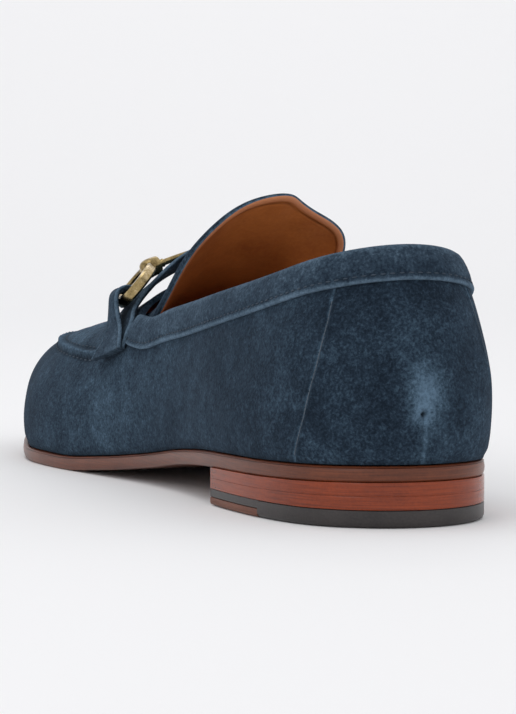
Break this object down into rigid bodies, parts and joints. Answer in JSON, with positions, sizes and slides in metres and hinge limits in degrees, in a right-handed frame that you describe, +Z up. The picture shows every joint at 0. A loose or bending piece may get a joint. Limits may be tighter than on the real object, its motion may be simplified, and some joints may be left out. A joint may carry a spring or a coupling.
{
  "type": "bit loafer",
  "caption": "Left slip-on loafer in navy suede with a tall tongue, a saddle strap with a metal bit, and a leather sole with a low stacked heel.",
  "frame": {"origin": "on the floor under the middle of the heel, at the mount heel_rest", "axes": "+Y from the heel towards the toe, +X towards the inner side of the foot, +Z up"},
  "size_m": [0.0991, 0.3019, 0.0912],
  "materials": {
    "suede": "navy suede with a soft nap",
    "suede_edge": "navy suede, folded and stitched",
    "lining": "tan lining leather, semi-matt",
    "sock": "brown sock leather, matt",
    "sole_leather": "burnished brown edge",
    "stack_leather": "polished stacked leather",
    "rubber": "satin dark rubber",
    "brass": "antique brass"
  },
  "bodies": {
    "root": {"upper": "suede", "collar_band": "suede_edge", "tongue": "lining", "outsole": "sole_leather", "insole": "sock", "heel_lift_1": "stack_leather", "heel_lift_2": "stack_leather", "heel_top_piece": "rubber", "heel_inlay": "stack_leather", "saddle_strap": "suede", "saddle_tab_lateral": "suede_edge", "saddle_tab_medial": "suede_edge", "bit": "brass"}
  },
  "joints": []
}
